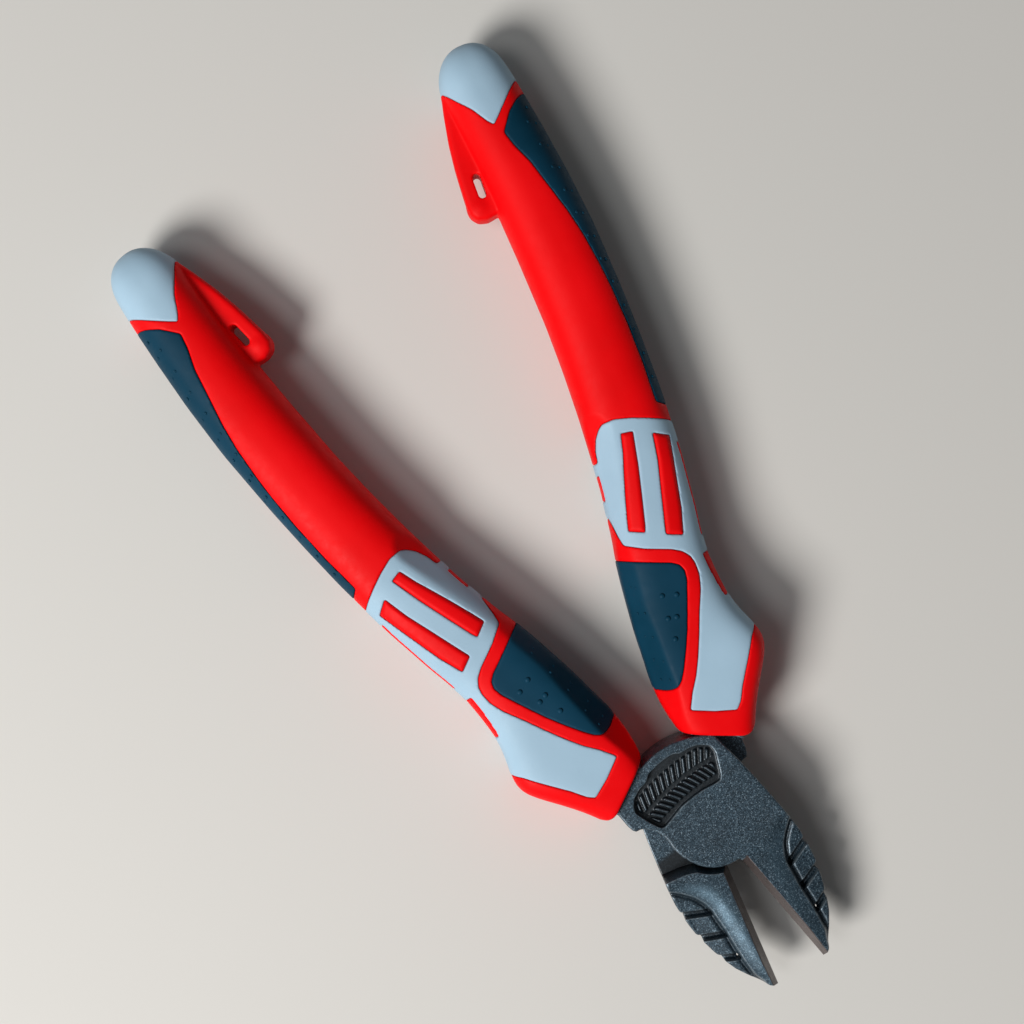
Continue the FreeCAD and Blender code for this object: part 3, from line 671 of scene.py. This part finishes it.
def forged(name):
    """Dark metallic-flake coating, edges worn bright, painted highlight on the land crowns, painted shade in the
    hollows, ground bevel.
    """
    m, nt, p = new_material(name)
    tc = node(nt, "ShaderNodeTexCoord").outputs["Object"]
    flakes = node(nt, "ShaderNodeTexVoronoi")
    flakes.inputs["Scale"].default_value = 6200.0
    nt.links.new(tc, flakes.inputs["Vector"])
    sep = node(nt, "ShaderNodeSeparateColor")
    nt.links.new(flakes.outputs["Color"], sep.inputs["Color"])
    spark = ramp(nt, sep.outputs["Red"], [
        (0.0, (0.006, 0.018, 0.029)), (0.4, (0.017, 0.040, 0.062)),
        (0.72, (0.044, 0.084, 0.118)), (0.92, (0.10, 0.16, 0.21)),
        (1.0, (0.25, 0.34, 0.41))])
    cloud = noise(nt, tc, 160.0, 3.0)
    tone = ramp(nt, cloud.outputs["Fac"], [(0.25, (0.72,) * 3),
                                           (0.75, (1.18,) * 3)])
    mul = node(nt, "ShaderNodeMix", data_type="RGBA", blend_type="MULTIPLY")
    mul.inputs["Factor"].default_value = 1.0
    nt.links.new(spark.outputs["Color"], mul.inputs["A"])
    nt.links.new(tone.outputs["Color"], mul.inputs["B"])
    # worn edges
    wear = node(nt, "ShaderNodeAttribute", attribute_name="wear")
    wn = noise(nt, tc, 900.0, 3.0, 0.7)
    add = node(nt, "ShaderNodeMath", operation="MULTIPLY")
    nt.links.new(wear.outputs["Fac"], add.inputs[0])
    wr = ramp(nt, wn.outputs["Fac"], [(0.35, (0.10,) * 3), (0.65, (0.85,) * 3)])
    nt.links.new(wr.outputs["Color"], add.inputs[1])
    mixw = node(nt, "ShaderNodeMix", data_type="RGBA")
    nt.links.new(add.outputs[0], mixw.inputs["Factor"])
    nt.links.new(mul.outputs["Result"], mixw.inputs["A"])
    mixw.inputs["B"].default_value = (0.17, 0.21, 0.24, 1.0)
    # painted highlight on the land crowns: the coating is lighter, still flaked
    land_highlight = node(nt, "ShaderNodeAttribute", attribute_name="painted_highlight")
    rn = noise(nt, tc, 420.0, 3.0, 0.6)
    rr2 = ramp(nt, rn.outputs["Fac"], [(0.3, (0.55,) * 3), (0.7, (1.0,) * 3)])
    rm = node(nt, "ShaderNodeMath", operation="MULTIPLY")
    nt.links.new(land_highlight.outputs["Fac"], rm.inputs[0])
    nt.links.new(rr2.outputs["Color"], rm.inputs[1])
    bright = node(nt, "ShaderNodeMix", data_type="RGBA",
                  blend_type="ADD")
    bright.inputs["Factor"].default_value = 1.0
    nt.links.new(mul.outputs["Result"], bright.inputs["A"])
    bright.inputs["B"].default_value = (0.13, 0.22, 0.29, 1.0)
    mixr = node(nt, "ShaderNodeMix", data_type="RGBA")
    nt.links.new(rm.outputs[0], mixr.inputs["Factor"])
    nt.links.new(mixw.outputs["Result"], mixr.inputs["A"])
    nt.links.new(bright.outputs["Result"], mixr.inputs["B"])
    mixw = mixr
    # painted shade darkens the grooves, ridge valley, recess and pocket corner
    shade_node = node(nt, "ShaderNodeAttribute", attribute_name="painted_shade")
    mixc = node(nt, "ShaderNodeMix", data_type="RGBA")
    nt.links.new(shade_node.outputs["Fac"], mixc.inputs["Factor"])
    nt.links.new(mixw.outputs["Result"], mixc.inputs["A"])
    mixc.inputs["B"].default_value = (0.004, 0.007, 0.010, 1.0)
    mixw = mixc
    # ground bevel: warm brown-grey steel with fine lines along the grind
    bev = node(nt, "ShaderNodeAttribute", attribute_name="ground")
    mp = node(nt, "ShaderNodeMapping")
    mp.inputs["Scale"].default_value = (300.0, 300.0, 5200.0)
    nt.links.new(tc, mp.inputs["Vector"])
    gl = noise(nt, mp.outputs["Vector"], 1.0, 3.0, 0.65)
    gc = ramp(nt, gl.outputs["Fac"], [(0.3, (0.060, 0.045, 0.043)),
                                      (0.55, (0.105, 0.080, 0.077)),
                                      (0.8, (0.17, 0.14, 0.14))])
    mixg = node(nt, "ShaderNodeMix", data_type="RGBA")
    nt.links.new(bev.outputs["Fac"], mixg.inputs["Factor"])
    nt.links.new(mixw.outputs["Result"], mixg.inputs["A"])
    nt.links.new(gc.outputs["Color"], mixg.inputs["B"])
    nt.links.new(mixg.outputs["Result"], p.inputs["Base Color"])
    rr = ramp(nt, sep.outputs["Green"], [(0.0, (0.30,) * 3),
                                         (1.0, (0.52,) * 3)])
    nt.links.new(rr.outputs["Color"], p.inputs["Roughness"])
    p.inputs["Metallic"].default_value = 0.45
    p.inputs["Specular IOR Level"].default_value = 0.7
    p.inputs["Coat Weight"].default_value = 0.30
    p.inputs["Coat Roughness"].default_value = 0.40
    grit = noise(nt, tc, 2600.0, 3.0, 0.65)
    b1 = bump(nt, grit.outputs["Fac"], 0.30, 0.00008)
    b2 = bump(nt, sep.outputs["Blue"], 0.18, 0.00004, b1.outputs["Normal"])
    nt.links.new(b2.outputs["Normal"], p.inputs["Normal"])
    return m


RED = moulded("red_plastic", (0.78, 0.0008, 0.002), (0.86, 0.0012, 0.003),
              (0.92, 0.002, 0.005), 0.50, 0.35, 0.10)
LIGHT = moulded("light_elastomer", (0.33, 0.48, 0.605), (0.36, 0.52, 0.65),
                (0.39, 0.56, 0.70), 0.58, 0.25, 0.25, 0.06)
DARK = moulded("dark_elastomer", (0.002, 0.031, 0.058),
               (0.004, 0.041, 0.077), (0.007, 0.053, 0.098), 0.50, 0.30,
               0.09)
STEEL = forged("forged_steel")
RIVET = forged("rivet_steel")

# --------------------------------------------------------------------------
# camera first, then the pieces
# --------------------------------------------------------------------------
DIST, FIELD = 350.0, 207.9
cam_data = bpy.data.cameras.new("camera")
cam_data.sensor_width = 36.0
cam_data.lens = 36.0 * DIST / FIELD
cam_data.clip_start = 0.01
cam = bpy.data.objects.new("camera", cam_data)
bpy.context.scene.collection.objects.link(cam)
RIGHT = Vector((-0.84877, 0.52873, 0.0)).normalized()
UP = Vector((-0.52873, -0.84877, 0.0)).normalized()
OUT = RIGHT.cross(UP)
cam.matrix_world = Matrix((
    (RIGHT.x, UP.x, OUT.x, 0.72 * MM),
    (RIGHT.y, UP.y, OUT.y, -74.04 * MM),
    (RIGHT.z, UP.z, OUT.z, (MID + DIST) * MM),
    (0, 0, 0, 1)))
bpy.context.scene.camera = cam

grid, skinfield, fields = build_grip()
SLOTS = {"grip_core": ("grip_red", RED), "end_cap": ("grip_light", LIGHT),
         "grip_cage": ("grip_light", LIGHT),
         "back_strip": ("grip_dark", DARK), "thumb_pad": ("grip_dark", DARK)}
for key, field in fields.items():
    pts, quads = grid.surface(field)
    extra = None
    if key == "back_strip":
        extra = extra_from(domes(grid, field, STRIP_DOTS, 0.36, 0.22))
    if key == "thumb_pad":
        extra = extra_from(domes(grid, field, PAD_BUMPS, 0.58, 0.34),
                           domes(grid, field, PAD_DOTS, 0.30, 0.18))
    slot_name, mat = SLOTS[key]
    for prefix, side in (("upper", 1.0), ("lower", -1.0)):
        ob = make_mesh(prefix + "_" + key + "_moulding", pts, quads, side,
                       extra=extra)
        finish_piece(ob, prefix + "_handle", prefix + "_" + key,
                     mat)
del fields, skinfield

for prefix, side, front in (("upper", 1.0, True), ("lower", -1.0, False)):
    g, field, low, land_highlight = build_lever(front)
    pts, quads = g.surface(field)
    cur = g.sample(curvature(field, g.h), pts)
    wear = step01(cur, 1.5, 3.4)
    # painted shade and painted highlight masks carried to the vertices
    painted_shade = g.sample(low, pts)
    painted_highlight = g.sample(land_highlight, pts) * (1 - painted_shade)
    kk = 1.4 / (5.8 - 2.8 * np.clip((pts[:, 1] - 9.0) / 27.2, 0, 1.1))
    onbev = np.abs(pts[:, 0] + 0.015 + kk * np.abs(pts[:, 2]))
    ground = (onbev < 0.12) & (pts[:, 1] > 9.2)
    ob = make_mesh(prefix + "_lever_forging", pts, quads, side,
                   flip=not front,
                   attrs={"wear": wear * (1 - painted_shade), "painted_shade": painted_shade, "painted_highlight": painted_highlight,
                          "ground": ground.astype(np.float32)})
    finish_piece(ob, prefix + "_handle", prefix + "_lever",
                 STEEL)

# rivet: countersunk in the back plate, its front end under the front face
PROFILE = [(0.0, -5.75), (4.9, -5.75), (5.33, -5.62), (3.98, -3.42),
           (3.98, 4.2), (3.55, 4.7), (0.0, 4.7)]
segs = 96
rv = [(0.0, 0.0, PROFILE[0][1] + MID)]
for r, z in PROFILE[1:-1]:
    for q in range(segs):
        a = 2 * math.pi * q / segs
        rv.append((r * math.cos(a), r * math.sin(a), z + MID))
rv.append((0.0, 0.0, PROFILE[-1][1] + MID))
rf = []
rings = len(PROFILE) - 2
for q in range(segs):
    q2 = (q + 1) % segs
    rf.append((0, 1 + q2, 1 + q))
    for r in range(rings - 1):
        a0, b0 = 1 + r * segs, 1 + (r + 1) * segs
        rf.append((a0 + q, a0 + q2, b0 + q2, b0 + q))
    top0 = 1 + (rings - 1) * segs
    rf.append((top0 + q, top0 + q2, len(rv) - 1))
me = bpy.data.meshes.new("pivot_rivet_turned")
me.from_pydata([(x * MM, y * MM, z * MM) for x, y, z in rv], [], rf)
ob = bpy.data.objects.new("pivot_rivet_turned", me)
bpy.context.scene.collection.objects.link(ob)
finish_piece(ob, "lower_handle", "pivot_rivet", RIVET)

# --------------------------------------------------------------------------
# floor and light
# --------------------------------------------------------------------------
FLOOR_Z = CAD_BOX[0][2] - 0.00002


def plain_floor():
    m, nt, p = new_material("floor_pale")
    p.inputs["Base Color"].default_value = (0.66, 0.645, 0.615, 1.0)
    p.inputs["Roughness"].default_value = 0.75
    me = bpy.data.meshes.new("floor")
    s = 3.0
    me.from_pydata([(-s, -s, FLOOR_Z), (s, -s, FLOOR_Z), (s, s, FLOOR_Z),
                    (-s, s, FLOOR_Z)], [], [(0, 1, 2, 3)])
    me.materials.append(m)
    ob = bpy.data.objects.new("floor", me)
    bpy.context.scene.collection.objects.link(ob)


def area(name, direction, dist, size, watts, colour=(1, 1, 1)):
    ld = bpy.data.lights.new(name, "AREA")
    ld.shape = "DISK"
    ld.size = size
    ld.energy = watts
    ld.color = colour
    ob = bpy.data.objects.new(name, ld)
    bpy.context.scene.collection.objects.link(ob)
    d = Vector(direction).normalized()
    target = Vector((0, -0.065, 0.005))
    ob.location = target + d * dist
    ob.rotation_euler = d.to_track_quat("Z", "Y").to_euler()
    return ob


plain_floor()
# the key stands low-left of the picture, so shadows fall to the upper right
key = -RIGHT * 0.74 - UP * 0.64
area("key", (key.x, key.y, 0.98), 1.1, 0.44, 12.6, (1.0, 0.985, 0.96))
area("fill", (-key.x, -key.y, 1.6), 1.3, 1.0, 0.12, (0.92, 0.96, 1.0))
top = -RIGHT * 0.46 - UP * 0.10
area("top", (top.x, top.y, 1.0), 1.4, 0.45, 2.6, (0.96, 0.98, 1.0))
world = bpy.data.worlds.new("world")
world.use_nodes = True
world.node_tree.nodes["Background"].inputs[0].default_value = (0.95, 0.97,
                                                               1.0, 1.0)
world.node_tree.nodes["Background"].inputs[1].default_value = 0.09
bpy.context.scene.world = world
bpy.context.scene.view_settings.view_transform = "Standard"
